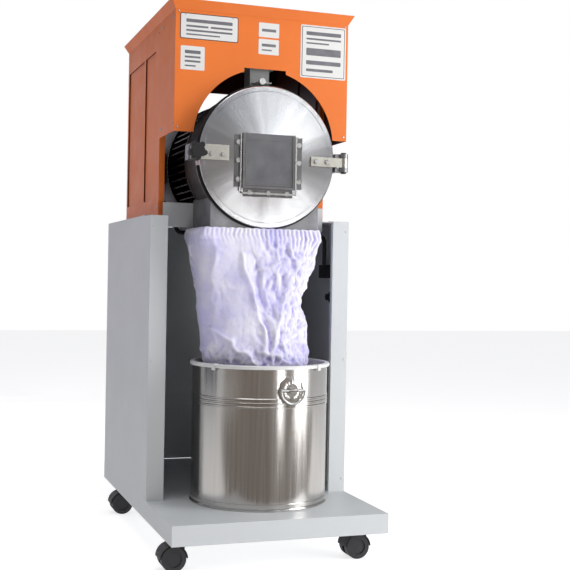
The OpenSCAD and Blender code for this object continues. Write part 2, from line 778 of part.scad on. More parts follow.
module bin_handle_rear() {
  color("silver") translate([bin_x, bin_y, 0]) rotate([0, 0, bin_turn + 180]) drop_handle();
}

// castor: trail towards +X before the turn a
module castor_fork(x, y, a) {
  w = wheel_r;
  color([0.08, 0.08, 0.08]) translate([x, y, 0]) rotate([0, 0, a]) difference() {
    union() {
      ycyl(trail, w, w - 4, -6.5, 6.5);
      box([-8, -6.5, w], [trail, 6.5, 50]);
      difference() {
        ycyl(trail, w, w + 3.5, -21.5, 21.5);
        ycyl(trail, w, w + 1.5, -22, 22);
        box([trail - 40, -30, -10], [trail + 40, 30, w + 1]);
      }
      box([trail - 12, -6.5, w + 15], [trail + 12, 6.5, w + 26]);
      zcyl(0, 0, 12, 52, 56.7);
      box([-6.4, -6.4, 45], [6.4, 6.4, 53]);
    }
    zcyl(0, 0, 4.06, 38, 60);
    ycyl(trail, w, 3.06, -10, 10);
  }
}

module castor_wheels(x, y, a) {
  color([0.05, 0.05, 0.05]) translate([x, y, 0]) rotate([0, 0, a]) {
    ycyl(trail, wheel_r, 3, -8, 8);
    for (s = [0, 1]) mirror([0, s, 0]) difference() {
      ycyl(trail, wheel_r, wheel_r, 7, 21);
      ycyl(trail, wheel_r, 16, 18.5, 22);
    }
  }
}

module castor_fl_fork() { castor_fork(-castor_x, castor_yf, 180); }
module castor_fr_fork() { castor_fork(castor_x, castor_yf, 180); }
module castor_rl_fork() { castor_fork(-castor_x, castor_yr, 180); }
module castor_rr_fork() { castor_fork(castor_x, castor_yr, 0); }
module castor_fl_wheels() { castor_wheels(-castor_x, castor_yf, 180); }
module castor_fr_wheels() { castor_wheels(castor_x, castor_yf, 180); }
module castor_rl_wheels() { castor_wheels(-castor_x, castor_yr, 180); }
module castor_rr_wheels() { castor_wheels(castor_x, castor_yr, 0); }

base_tray();
castor_plates();
left_side_panel();
right_side_panel();
lower_back_panel();
upper_back_panel();
motor_deck();
machine_screws();
hood_left_leg();
hood_right_leg();
hood_back_panel();
hood_front_cover();
hopper();
feed_chute();
feed_gate();
drum_shell();
drum_back_plate();
chamber_gasket();
screen();
outlet_box();
drum_lugs();
hinge_pin();
chamber_door();
window_guide();
window_plate();
door_straps();
door_bolts();
star_knob();
motor_frame();
motor_end_shields();
stator();
bearings();
fan_cowl();
terminal_box();
capacitor();
motor_lead();
motor_shaft();
rotor_core();
rotor_hub();
rotor_nut();
cooling_fan();
hammer_1();
hammer_2();
hammer_3();
hammer_4();
switch_housing();
switch_rocker();
filter_bag();
bin_body();
bin_ring();
bin_handle_front();
bin_handle_rear();
castor_fl_fork();
castor_fr_fork();
castor_rl_fork();
castor_rr_fork();
castor_fl_wheels();
castor_fr_wheels();
castor_rl_wheels();
castor_rr_wheels();
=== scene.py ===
import math

import bpy
import numpy as np
from mathutils import Matrix, Vector, noise


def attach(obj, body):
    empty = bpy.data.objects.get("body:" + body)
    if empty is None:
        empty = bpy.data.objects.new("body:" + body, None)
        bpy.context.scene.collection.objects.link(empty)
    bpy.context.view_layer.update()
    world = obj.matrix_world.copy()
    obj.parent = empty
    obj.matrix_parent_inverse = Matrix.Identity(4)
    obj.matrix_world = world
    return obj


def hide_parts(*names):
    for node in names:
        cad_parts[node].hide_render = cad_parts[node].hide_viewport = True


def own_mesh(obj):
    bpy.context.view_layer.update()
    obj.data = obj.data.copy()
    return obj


MM = 0.001
DRUM_HEIGHT = 838.0     # of the drum's axis, mm
DRUM_CENTRE = (0, 0, DRUM_HEIGHT)


# ---------------------------------------------------------------- camera
CAMERA_TURN = (19.21, -0.34, -1.05)     # yaw, pitch and roll in degrees
CAMERA_PLACE = (-0.71296, -2.40579, 0.58157)
CAMERA_LENS = 68.14


def make_camera():
    yaw, pitch, roll = (math.radians(a) for a in CAMERA_TURN)
    forward = Vector((math.sin(yaw) * math.cos(pitch), math.cos(yaw) * math.cos(pitch), math.sin(pitch)))
    level_right = Vector((math.cos(yaw), -math.sin(yaw), 0))
    level_up = level_right.cross(forward)
    right = math.cos(roll) * level_right - math.sin(roll) * level_up
    up = math.sin(roll) * level_right + math.cos(roll) * level_up
    data = bpy.data.cameras.new("camera")
    data.lens = CAMERA_LENS
    data.sensor_width = 36
    camera = bpy.data.objects.new("camera", data)
    bpy.context.collection.objects.link(camera)
    placed = Matrix((right, up, -forward)).transposed().to_4x4()
    placed.translation = Vector(CAMERA_PLACE)
    camera.matrix_world = placed
    bpy.context.scene.camera = camera


make_camera()
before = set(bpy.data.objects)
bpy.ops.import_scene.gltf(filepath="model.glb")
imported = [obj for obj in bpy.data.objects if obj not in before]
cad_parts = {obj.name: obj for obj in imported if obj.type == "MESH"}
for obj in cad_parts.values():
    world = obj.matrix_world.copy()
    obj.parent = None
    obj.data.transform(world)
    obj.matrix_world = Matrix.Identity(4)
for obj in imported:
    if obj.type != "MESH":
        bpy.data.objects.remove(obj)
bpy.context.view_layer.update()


# ---------------------------------------------------------------- materials
def new_mat(name):
    m = bpy.data.materials.new(name)
    m.use_nodes = True
    nt = m.node_tree
    bsdf = nt.nodes["Principled BSDF"]
    return m, nt, bsdf


def node(nt, kind, **vals):
    n = nt.nodes.new(kind)
    for k, v in vals.items():
        if k in n.inputs:
            n.inputs[k].default_value = v
        else:
            setattr(n, k, v)
    return n


def ramp(nt, src, stops):
    r = nt.nodes.new("ShaderNodeValToRGB")
    el = r.color_ramp.elements
    while len(el) < len(stops):
        el.new(0.5)
    for e, (p, c) in zip(el, stops):
        e.position = p
        e.color = (*c, 1) if len(c) == 3 else c
    nt.links.new(src, r.inputs[0])
    return r.outputs[0]


def coords(nt, scale=(1, 1, 1)):
    tc = nt.nodes.new("ShaderNodeTexCoord")
    mp = nt.nodes.new("ShaderNodeMapping")
    mp.inputs["Scale"].default_value = scale
    nt.links.new(tc.outputs["Object"], mp.inputs["Vector"])
    return mp.outputs[0]


def noise_tex(nt, vec, scale, detail=4.0, rough=0.55):
    n = node(nt, "ShaderNodeTexNoise", Scale=scale, Detail=detail, Roughness=rough)
    nt.links.new(vec, n.inputs["Vector"])
    return n.outputs["Fac"]


def shade(c, k):
    return tuple(min(1.0, max(0.0, x * k)) for x in c)


def pbr(name, col, rough, metal=0.0, var=0.05, vscale=7.0, rvar=0.07, bump=0.15, bscale=350.0, bdist=0.0003,
        stretch=(1, 1, 1), tint=None, coat=0.0, spec=None, bevel=0.0):
    """Base material: colour and roughness vary a little, over fine bump and an optional softened edge."""
    m, nt, b = new_mat(name)
    v = coords(nt, stretch)
    f = noise_tex(nt, v, vscale, 6.0)
    lo, hi = shade(col, 1 - var), shade(tint or col, 1 + var)
    nt.links.new(ramp(nt, f, [(0.3, lo), (0.7, hi)]), b.inputs["Base Color"])
    g = noise_tex(nt, v, vscale * 4.7, 5.0)
    r = ramp(nt, g, [(0.25, (rough - rvar,) * 3), (0.75, (rough + rvar,) * 3)])
    nt.links.new(r, b.inputs["Roughness"])
    b.inputs["Metallic"].default_value = metal
    if coat:
        b.inputs["Coat Weight"].default_value = coat
        b.inputs["Coat Roughness"].default_value = 0.15
    if spec is not None:
        b.inputs["Specular IOR Level"].default_value = spec
    normal = None
    if bevel:
        bv = node(nt, "ShaderNodeBevel", samples=4)
        bv.inputs["Radius"].default_value = bevel
        normal = bv.outputs[0]
    if bump:
        h = noise_tex(nt, v, bscale, 3.0)
        bp = node(nt, "ShaderNodeBump", Strength=bump, Distance=bdist)
        nt.links.new(h, bp.inputs["Height"])
        if normal:
            nt.links.new(normal, bp.inputs["Normal"])
        normal = bp.outputs[0]
    if normal:
        nt.links.new(normal, b.inputs["Normal"])
    return m


DISH_SLOPE = -0.085     # the lathe-turned face is shaded as if it were this steep towards its middle


def turned_mat():
    m, nt, b = new_mat("turned_aluminium")
    b.inputs["Metallic"].default_value = 1.0
    b.inputs["Anisotropic"].default_value = 0.85
    tan = node(nt, "ShaderNodeTangent", direction_type="RADIAL", axis="Y")
    nt.links.new(tan.outputs[0], b.inputs["Tangent"])
    # distance from the axis of the disc gives the turning grooves and the dish
    tc = nt.nodes.new("ShaderNodeTexCoord")
    sub = node(nt, "ShaderNodeVectorMath", operation="SUBTRACT")
    sub.inputs[1].default_value = (0, 0, DRUM_HEIGHT * MM)
    nt.links.new(tc.outputs["Object"], sub.inputs[0])
    flat = node(nt, "ShaderNodeVectorMath", operation="MULTIPLY")
    flat.inputs[1].default_value = (1, 0, 1)
    nt.links.new(sub.outputs[0], flat.inputs[0])
    ln = node(nt, "ShaderNodeVectorMath", operation="LENGTH")
    nt.links.new(flat.outputs[0], ln.inputs[0])
    wob = noise_tex(nt, tc.outputs["Object"], 5.0, 3.0)
    rr = node(nt, "ShaderNodeCombineXYZ")
    nt.links.new(ln.outputs["Value"], rr.inputs[0])
    g = noise_tex(nt, rr.outputs[0], 4200.0, 1.0)
    g2 = noise_tex(nt, rr.outputs[0], 420.0, 2.0)
    # faint rays round the disc, where the turning marks are uneven, and partly a painted reflection of the
    # light fans on the turned face
    xyz = nt.nodes.new("ShaderNodeSeparateXYZ")
    nt.links.new(flat.outputs[0], xyz.inputs[0])
    ang = node(nt, "ShaderNodeMath", operation="ARCTAN2")
    nt.links.new(xyz.outputs["Z"], ang.inputs[0])
    nt.links.new(xyz.outputs["X"], ang.inputs[1])
    ray = nt.nodes.new("ShaderNodeCombineXYZ")
    nt.links.new(ang.outputs[0], ray.inputs[0])
    painted_fan_rays = ramp(nt, noise_tex(nt, ray.outputs[0], 3.2, 3.0), [(0.35, (0.78,) * 3), (0.65, (1.0,) * 3)])
    mul = node(nt, "ShaderNodeMix", data_type="RGBA", blend_type="MULTIPLY")
    mul.inputs[0].default_value = 1.0
    nt.links.new(ramp(nt, wob, [(0.3, (0.62, 0.64, 0.68)), (0.7, (0.76, 0.765, 0.78))]), mul.inputs[6])
    # the rays darken the colour at random angles round the disc: partly painted reflection
    nt.links.new(painted_fan_rays, mul.inputs[7])
    nt.links.new(mul.outputs[2], b.inputs["Base Color"])
    nt.links.new(ramp(nt, g2, [(0.3, (0.22,) * 3), (0.7, (0.26,) * 3)]), b.inputs["Roughness"])
    dish = node(nt, "ShaderNodeMath", operation="MULTIPLY")
    dish.inputs[1].default_value = DISH_SLOPE
    nt.links.new(ln.outputs["Value"], dish.inputs[0])
    bd = node(nt, "ShaderNodeBump", Strength=1.0, Distance=1.0)
    nt.links.new(dish.outputs[0], bd.inputs["Height"])
    bp = node(nt, "ShaderNodeBump", Strength=0.05, Distance=0.0001)
    nt.links.new(g, bp.inputs["Height"])
    nt.links.new(bd.outputs[0], bp.inputs["Normal"])
    nt.links.new(bp.outputs[0], b.inputs["Normal"])
    return m


def stainless_mat():
    m, nt, b = new_mat("polished_stainless")
    b.inputs["Metallic"].default_value = 1.0
    v = coords(nt, (60, 60, 1.2))
    f = noise_tex(nt, v, 4.0, 4.0)
    nt.links.new(ramp(nt, f, [(0.3, (0.55, 0.53, 0.505)), (0.7, (0.64, 0.62, 0.60))]), b.inputs["Base Color"])
    nt.links.new(ramp(nt, f, [(0.3, (0.15,) * 3), (0.7, (0.23,) * 3)]), b.inputs["Roughness"])
    w = noise_tex(nt, coords(nt, (1, 1, 0.25)), 9.0, 2.0)
    s = noise_tex(nt, coords(nt, (220, 220, 3)), 4.0, 2.0)
    add = node(nt, "ShaderNodeMath", operation="MULTIPLY_ADD")
    add.inputs[1].default_value = 0.03
    nt.links.new(s, add.inputs[0])
    nt.links.new(w, add.inputs[2])
    bp = node(nt, "ShaderNodeBump", Strength=0.25, Distance=0.002)
    nt.links.new(add.outputs[0], bp.inputs["Height"])
    nt.links.new(bp.outputs[0], b.inputs["Normal"])
    return m


def cloth_mat():
    m, nt, b = new_mat("cotton_sleeve")
    tc = nt.nodes.new("ShaderNodeTexCoord")
    f = noise_tex(nt, tc.outputs["Object"], 9.0, 5.0)
    patches = ramp(nt, f, [(0.36, (0.70, 0.68, 0.96)), (0.62, (0.92, 0.915, 0.99))])
    # painted shade and painted highlight: the hollows of the cloth are coloured a deeper lilac and its ridges
    # white
    geo = nt.nodes.new("ShaderNodeNewGeometry")
    depth = [(0.455, (0.62, 0.58, 0.86)), (0.5, (0.92, 0.91, 0.98)), (0.525, (1, 1, 1))]
    mul = node(nt, "ShaderNodeMix", data_type="RGBA", blend_type="MULTIPLY")
    mul.inputs[0].default_value = 1.0
    nt.links.new(patches, mul.inputs[6])
    # pointiness picks out the hollows for the painted shade and the ridges for the painted highlight
    nt.links.new(ramp(nt, geo.outputs["Pointiness"], depth), mul.inputs[7])
    nt.links.new(mul.outputs[2], b.inputs["Base Color"])
    b.inputs["Roughness"].default_value = 0.85
    b.inputs["Sheen Weight"].default_value = 0.25
    b.inputs["Sheen Roughness"].default_value = 0.4
    b.inputs["Subsurface Weight"].default_value = 0.12
    b.inputs["Subsurface Radius"].default_value = (0.006, 0.006, 0.008)
    b.inputs["Subsurface Scale"].default_value = 1.0
    uv = nt.nodes.new("ShaderNodeUVMap")
    uv.uv_map = "weave"
    wx = node(nt, "ShaderNodeTexWave", wave_type="BANDS", bands_direction="X", Scale=1.0)
    wy = node(nt, "ShaderNodeTexWave", wave_type="BANDS", bands_direction="Y", Scale=1.0)
    for w in (wx, wy):
        nt.links.new(uv.outputs[0], w.inputs["Vector"])
    mx = node(nt, "ShaderNodeMath", operation="MAXIMUM")
    nt.links.new(wx.outputs["Fac"], mx.inputs[0])
    nt.links.new(wy.outputs["Fac"], mx.inputs[1])
    bp = node(nt, "ShaderNodeBump", Strength=0.25, Distance=0.0003)
    nt.links.new(mx.outputs[0], bp.inputs["Height"])
    fine = noise_tex(nt, tc.outputs["Object"], 130.0, 3.0)
    bp2 = node(nt, "ShaderNodeBump", Strength=0.35, Distance=0.0012)
    nt.links.new(fine, bp2.inputs["Height"])
    nt.links.new(bp.outputs[0], bp2.inputs["Normal"])
    nt.links.new(bp2.outputs[0], b.inputs["Normal"])
    return m


def smoked_mat():
    m, nt, b = new_mat("smoked_acrylic")
    v = coords(nt)
    f = noise_tex(nt, v, 30.0, 4.0)
    haze = ramp(nt, f, [(0.3, (0.15, 0.152, 0.165)), (0.7, (0.20, 0.203, 0.215))])
    nt.links.new(haze, b.inputs["Base Color"])
    rub = ramp(nt, noise_tex(nt, v, 90.0), [(0.3, (0.12,) * 3), (0.7, (0.24,) * 3)])
    nt.links.new(rub, b.inputs["Roughness"])
    b.inputs["Alpha"].default_value = 0.82
    b.inputs["IOR"].default_value = 1.49
    m.blend_method = "BLEND"
    return m


WHITE = pbr("white_powder_coat", (0.64, 0.665, 0.68), 0.42, var=0.02, vscale=3,
            bump=0.18, bscale=420, bevel=0.0009)
ORANGE = pbr("orange_powder_coat", (0.86, 0.19, 0.022), 0.46, var=0.04, vscale=5,
             bump=0.22, bscale=380, bevel=0.0009, tint=(0.86, 0.20, 0.028), spec=0.45)


def paint_hood_inner_shade(m, centre, top, dark):
    """The faces that look towards the centre of the hood, below top, are given a dark colour: painted shade.
    """
    nt = m.node_tree
    b = nt.nodes["Principled BSDF"]
    tc = nt.nodes.new("ShaderNodeTexCoord")
    ge = nt.nodes.new("ShaderNodeNewGeometry")
    sub = node(nt, "ShaderNodeVectorMath", operation="SUBTRACT")
    sub.inputs[1].default_value = centre
    nt.links.new(tc.outputs["Object"], sub.inputs[0])
    dot = node(nt, "ShaderNodeVectorMath", operation="DOT_PRODUCT")
    nt.links.new(sub.outputs[0], dot.inputs[0])
    nt.links.new(ge.outputs["True Normal"], dot.inputs[1])
    inner = node(nt, "ShaderNodeMath", operation="LESS_THAN")
    inner.inputs[1].default_value = 0.0
    nt.links.new(dot.outputs["Value"], inner.inputs[0])
    xyz = nt.nodes.new("ShaderNodeSeparateXYZ")
    nt.links.new(tc.outputs["Object"], xyz.inputs[0])
    low = node(nt, "ShaderNodeMath", operation="LESS_THAN")
    low.inputs[1].default_value = top
    nt.links.new(xyz.outputs[2], low.inputs[0])
    both = node(nt, "ShaderNodeMath", operation="MULTIPLY")
    nt.links.new(inner.outputs[0], both.inputs[0])
    nt.links.new(low.outputs[0], both.inputs[1])
    # painted shade: a dark colour replaces the paint on the inward faces
    mix = node(nt, "ShaderNodeMixRGB")
    src = b.inputs["Base Color"].links[0].from_socket
    nt.links.new(both.outputs[0], mix.inputs[0])
    nt.links.new(src, mix.inputs[1])
    mix.inputs[2].default_value = (*dark, 1)
    nt.links.new(mix.outputs[0], b.inputs["Base Color"])


HOOD_CENTRE = (0.0, 0.06, 0.93)
LIP_BOTTOM = 1.1415     # the painted shade stops below this, so the hopper's lip above it is orange on both sides
# painted shade inside the hood
paint_hood_inner_shade(ORANGE, HOOD_CENTRE, LIP_BOTTOM, (0.085, 0.014, 0.008))
TURNED = turned_mat()
STAINLESS = stainless_mat()
CLOTH = cloth_mat()
SMOKED = smoked_mat()
STEEL = pbr("plain_steel", (0.50, 0.50, 0.505), 0.34, 1.0, var=0.12, vscale=14, rvar=0.1,
            bump=0.12, bscale=220)
SPOUT = pbr("galvanised_sheet", (0.30, 0.305, 0.325), 0.45, 0.8, var=0.22, vscale=26, rvar=0.1,
            bump=0.1, bscale=160)
ZINC = pbr("zinc_plate", (0.60, 0.61, 0.61), 0.30, 1.0, var=0.10, vscale=30, rvar=0.07,
           bump=0.04, bscale=260, bevel=0.0005)
ZINC_GREEN = pbr("zinc_passivated", (0.60, 0.61, 0.57), 0.34, 1.0, var=0.12, vscale=30, rvar=0.08,
                 bump=0.05, bscale=260, bevel=0.0005, tint=(0.64, 0.63, 0.56))
DARK_STEEL = pbr("blackened_steel", (0.20, 0.20, 0.205), 0.36, 0.9, var=0.2, vscale=26, rvar=0.1,
                 bump=0.06, bscale=260, bevel=0.0005)
CAST = pbr("drum_casting", (0.055, 0.045, 0.045), 0.5, 0.25, var=0.3, vscale=22, rvar=0.12,
           bump=0.5, bscale=240, bdist=0.0006)
LUGS = pbr("machined_iron", (0.30, 0.30, 0.315), 0.4, 0.9, var=0.2, vscale=40, rvar=0.1,
           bump=0.25, bscale=260, bevel=0.0006)
MOTOR = pbr("motor_enamel", (0.045, 0.026, 0.022), 0.38, 0.0, var=0.3, vscale=20, rvar=0.1,
            bump=0.35, bscale=200, coat=0.2)
COWL = pbr("cowl_grey", (0.80, 0.81, 0.83), 0.4, 0.0, var=0.06, vscale=12,
           bump=0.15, bscale=300, bevel=0.0006)
RUBBER = pbr("black_rubber", (0.012, 0.012, 0.013), 0.62, 0.0, var=0.3, vscale=30, rvar=0.1,
             bump=0.3, bscale=500)
BLACK = pbr("black_moulding", (0.007, 0.007, 0.008), 0.5, 0.0, var=0.25, vscale=24, rvar=0.1,
            bump=0.3, bscale=450, bevel=0.0006)
TYRE = pbr("castor_nylon", (0.022, 0.022, 0.025), 0.45, 0.0, var=0.25, vscale=30, rvar=0.12,
           bump=0.25, bscale=350, bevel=0.0008)
NYLON = pbr("white_nylon", (0.78, 0.78, 0.78), 0.45, 0.0, var=0.04, vscale=30,
            bump=0.12, bscale=300, bevel=0.0006)
RED = pbr("red_rocker", (0.5, 0.02, 0.015), 0.28, 0.0, var=0.08, vscale=20, bump=0.05, bscale=400)
COPPER = pbr("varnished_copper", (0.42, 0.16, 0.06), 0.4, 0.7, var=0.2, vscale=60, bump=0.5, bscale=300)
CHUTE = pbr("chute_grey", (0.23, 0.235, 0.23), 0.5, 0.3, var=0.15, vscale=25, bump=0.3, bscale=200)
LEAD = pbr("lead_sheath", (0.01, 0.01, 0.012), 0.5, 0.0, var=0.2, vscale=30, bump=0.2, bscale=500)

LOOK = {
    "base_tray": WHITE, "left_side_panel": WHITE, "right_side_panel": WHITE, "lower_back_panel": WHITE,
    "upper_back_panel": WHITE, "motor_deck": WHITE, "castor_plates": ZINC, "machine_screws": ZINC,
    "hood_left_leg": ORANGE, "hood_right_leg": ORANGE, "hood_back_panel": ORANGE, "hood_front_cover": ORANGE,
    "hopper": ORANGE, "feed_chute": CHUTE, "feed_gate": ZINC, "drum_shell": CAST, "drum_back_plate": CAST,
    "chamber_gasket": RUBBER, "screen": STEEL, "outlet_box": SPOUT, "drum_lugs": LUGS, "hinge_pin": CAST,
    "chamber_door": TURNED, "window_guide": DARK_STEEL, "window_plate": SMOKED, "door_straps": ZINC_GREEN,
    "door_bolts": ZINC, "star_knob": BLACK, "motor_frame": MOTOR, "motor_end_shields": MOTOR,
    "stator": COPPER, "bearings": STEEL, "fan_cowl": COWL,
    "terminal_box": BLACK, "capacitor": BLACK, "motor_lead": LEAD,
    "motor_shaft": STEEL, "rotor_core": STEEL, "rotor_hub": STEEL, "rotor_nut": ZINC, "cooling_fan": BLACK,
    "hammer_1": STEEL, "hammer_2": STEEL, "hammer_3": STEEL, "hammer_4": STEEL, "switch_housing": BLACK,
    "switch_rocker": RED, "filter_bag": CLOTH, "bin_body": STAINLESS, "bin_ring": NYLON,
    "bin_handle_front": ZINC, "bin_handle_rear": ZINC,
}
for c in ("fl", "fr", "rl", "rr"):
    LOOK[f"castor_{c}_fork"] = BLACK
    LOOK[f"castor_{c}_wheels"] = TYRE
for name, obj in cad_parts.items():
    for place in obj.material_slots:
        place.material = LOOK[name]


# ---------------------------------------------------------------- mesh helpers
def obj_from(name, verts, faces, mat, smooth=False, body="stand"):
    me = bpy.data.meshes.new(name)
    me.from_pydata([tuple(v) for v in verts], [], faces)
    me.materials.append(mat)
    if smooth:
        for p in me.polygons:
            p.use_smooth = True
    me.update()
    o = bpy.data.objects.new(name, me)
    bpy.context.collection.objects.link(o)
    if body:
        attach(o, body)
    return o


BOX_FACES = ((0, 3, 2, 1), (4, 5, 6, 7), (0, 1, 5, 4), (1, 2, 6, 5), (2, 3, 7, 6), (3, 0, 4, 7))


def boxes(name, parts, mat, body="stand"):
    """Several closed boxes (lowest and highest corner in mm) in one mesh."""
    v, f = [], []
    for (x0, y0, z0), (x1, y1, z1) in parts:
        k = len(v)
        v += [Vector(p) * MM for p in ((x0, y0, z0), (x1, y0, z0), (x1, y1, z0), (x0, y1, z0),
                                       (x0, y0, z1), (x1, y0, z1), (x1, y1, z1), (x0, y1, z1))]
        f += [tuple(k + i for i in face) for face in BOX_FACES]
    return obj_from(name, v, f, mat, False, body)


def prism_y(name, outline, y0, y1, mat, body="stand"):
    """A flat shape in XZ (mm, anticlockwise seen from the front) given thickness along Y."""
    n = len(outline)
    v = [Vector((x, y0, z)) * MM for x, z in outline] + [Vector((x, y1, z)) * MM for x, z in outline]
    f = [tuple(range(n)), tuple(range(2 * n - 1, n - 1, -1))]
    f += [(i, i + n, (i + 1) % n + n, (i + 1) % n) for i in range(n)]
    return obj_from(name, v, f, mat, False, body)


def rounded(x0, x1, z0, z1, r=2.0, steps=4):
    """A rectangle with round corners, as points in XZ."""
    out = []
    corners = ((x1 - r, z0 + r, -90), (x1 - r, z1 - r, 0), (x0 + r, z1 - r, 90), (x0 + r, z0 + r, 180))
    for cx, cz, start in corners:
        for i in range(steps + 1):
            a = math.radians(start + 90 * i / steps)
            out.append((cx + r * math.cos(a), cz + r * math.sin(a)))
    return out


def lathe(name, prof, centre, axis, mat, body="stand", n=120, a0=0.0, a1=360.0):
    """Turns a closed profile of (radius, distance along the axis) in mm about a line through centre."""
    full = abs(a1 - a0) >= 359.9
    m = len(prof)
    cols = n if full else n + 1
    v, f = [], []
    for i in range(cols):
        a = math.radians(a0 + (a1 - a0) * i / n)
        for r, h in prof:
            u, w = r * math.cos(a), r * math.sin(a)
            p = Vector((u, h, w)) if axis == "y" else Vector((u, w, h))
            v.append((p + Vector(centre)) * MM)
    for i in range(n):
        for j in range(m):
            a, b = i * m + j, i * m + (j + 1) % m
            c, d = ((i + 1) % cols) * m + (j + 1) % m, ((i + 1) % cols) * m + j
            f.append((a, b, c, d) if axis == "y" else (a, d, c, b))
    if not full:
        f.append(tuple(range(m)))
        f.append(tuple(reversed(range((cols - 1) * m, cols * m))))
    o = obj_from(name, v, f, mat, True, body)
    o.data.set_sharp_from_angle(angle=math.radians(35))
    return o


# ---------------------------------------------------------------- plain labels on the hood
PAPER = pbr("label_film", (0.80, 0.80, 0.79), 0.35, var=0.02, vscale=20, bump=0.03)
INK = pbr("label_ink", (0.035, 0.033, 0.038), 0.4, var=0.1, vscale=60, bump=0.03)
INK_SOFT = pbr("label_grey", (0.17, 0.17, 0.19), 0.4, var=0.15, vscale=60, bump=0.03)
FRONT = -193.0          # y of the hood's front sheet
PLATE_LIFT, INK_LIFT = 0.35, 0.12


def label(name, shapes):
    """Thin flat pieces from a list of (outline, material, layer); layer 0 is the plate itself."""
    for i, (outline, mat, layer) in enumerate(shapes):
        back = FRONT - 0.05 if layer == 0 else FRONT - 0.3 - INK_LIFT * (layer - 1)
        face = FRONT - PLATE_LIFT - INK_LIFT * layer
        prism_y(f"{name}_{i}", outline, face, back, mat, "stand")


def bar(x0, x1, z0, z1, r=1.0):
    return rounded(x0, x1, z0, z1, min(r, (x1 - x0) / 2 - 0.01, (z1 - z0) / 2 - 0.01), 3)


label("label_wide", [
    (rounded(-185, -58, 1082, 1136, 4), INK, 0),
    (rounded(-183.4, -59.6, 1083.6, 1134.4, 3), PAPER, 1),
    (bar(-172, -71, 1117, 1124), INK_SOFT, 2), (bar(-172, -124, 1107, 1111), INK_SOFT, 2),
    (bar(-119, -71, 1107, 1111), INK_SOFT, 2), (bar(-172, -71, 1098, 1102), INK_SOFT, 2),
    (bar(-172, -98, 1090, 1093), INK_SOFT, 2)])
label("label_small", [
    (rounded(-183, -131, 1017, 1067, 2), PAPER, 0),
    (bar(-174, -140, 1051, 1058), INK_SOFT, 1), (bar(-174, -140, 1042, 1046), INK_SOFT, 1),
    (bar(-174, -140, 1033, 1037), INK_SOFT, 1), (bar(-174, -150, 1024, 1027), INK_SOFT, 1)])
label("badge", [
    (rounded(-12, 34, 1063, 1096, 2), PAPER, 0), (rounded(-12, 34, 1100, 1131, 2), PAPER, 0),
    (bar(-5, 27, 1080, 1086), INK_SOFT, 1), (bar(-5, 27, 1112, 1118), INK_SOFT, 1),
    (bar(-5, 18, 1071, 1074), INK_SOFT, 1)])
label("label_plate", [
    (rounded(84, 190, 1021, 1136, 3), PAPER, 0),
    (rounded(87, 187, 1024, 1133, 2), INK, 1), (rounded(88.3, 185.7, 1025.3, 1131.7, 1.5), PAPER, 2),
    (bar(97, 178, 1114, 1122), INK_SOFT, 3), (bar(97, 178, 1104, 1108), INK_SOFT, 3),
    (bar(97, 150, 1095, 1098.5), INK_SOFT, 3),
    (bar(97, 178, 1070, 1086, 2), INK_SOFT, 3), (bar(97, 178, 1050, 1059, 2), INK_SOFT, 3),
    (bar(97, 160, 1035, 1041, 2), INK_SOFT, 3)])


# ---------------------------------------------------------------- drum: machined rim and gasket
lathe("drum_rim", [(148.1, -217), (149.6, -217), (149.8, -212), (149.4, -199), (148.1, -198.6)],
      DRUM_CENTRE, "y", ZINC_GREEN, "stand")
GASKET_EDGE = [(148.1, -223.3), (153.6, -223.3), (154, -222.4), (154, -218), (153.4, -217.2), (148.1, -217.2)]
for k, (start, end) in enumerate(((9, 171), (189, 351))):
    lathe(f"gasket_edge_{k}", GASKET_EDGE, DRUM_CENTRE, "y", RUBBER, "stand", a0=start, a1=end)


# ---------------------------------------------------------------- window: plate bead and guide lips
BEAD_FRONT, BEAD_BACK = -238.9, -238.35
LIP_FRONT, LIP_BACK = -241.2, -240.05
boxes("window_bead", [((-50, BEAD_FRONT, 872), (53, BEAD_BACK, 873.4)),
                      ((-50, BEAD_FRONT, 777), (53, BEAD_BACK, 778.4)),
                      ((-50, BEAD_FRONT, 778.4), (-48.6, BEAD_BACK, 872)),
                      ((51.6, BEAD_FRONT, 778.4), (53, BEAD_BACK, 872))], DARK_STEEL, "window")
boxes("guide_lips", [((59.5, LIP_FRONT, 762), (63, LIP_BACK, 884)),
                     ((-58, LIP_FRONT, 757.5), (63, LIP_BACK, 761.5)),
                     ((-62.5, LIP_FRONT, 762), (-60, LIP_BACK, 884))], ZINC, "door")


# ---------------------------------------------------------------- screw heads on the sheet metal
DOME_SIDES, DOME_RINGS = 14, 3


def domes(name, spots, r, h, mat, body):
    """One round head of radius r and height h at each (centre, outward direction)."""
    v, f = [], []
    n = DOME_SIDES
    for c, nrm in spots:
        c, nrm = Vector(c), Vector(nrm).normalized()
        t = nrm.orthogonal().normalized()
        b = nrm.cross(t)
        k = len(v)
        for j in range(DOME_RINGS):
            ring_r = r * math.cos(j * math.pi / 2 / DOME_RINGS)
            ring_h = h * math.sin(j * math.pi / 2 / DOME_RINGS)
            for i in range(n):
                a = 2 * math.pi * i / n
                v.append((c + nrm * ring_h + (t * math.cos(a) + b * math.sin(a)) * ring_r) * MM)
        v.append((c + nrm * h) * MM)
        for j in range(DOME_RINGS - 1):
            q = k + j * n
            for i in range(n):
                f.append((q + i, q + (i + 1) % n, q + n + (i + 1) % n, q + n + i))
        top = k + (DOME_RINGS - 1) * n
        for i in range(n):
            f.append((top + i, top + (i + 1) % n, k + DOME_RINGS * n))
        f.append(tuple(k + i for i in reversed(range(n))))
    return obj_from(name, v, f, mat, True, body)


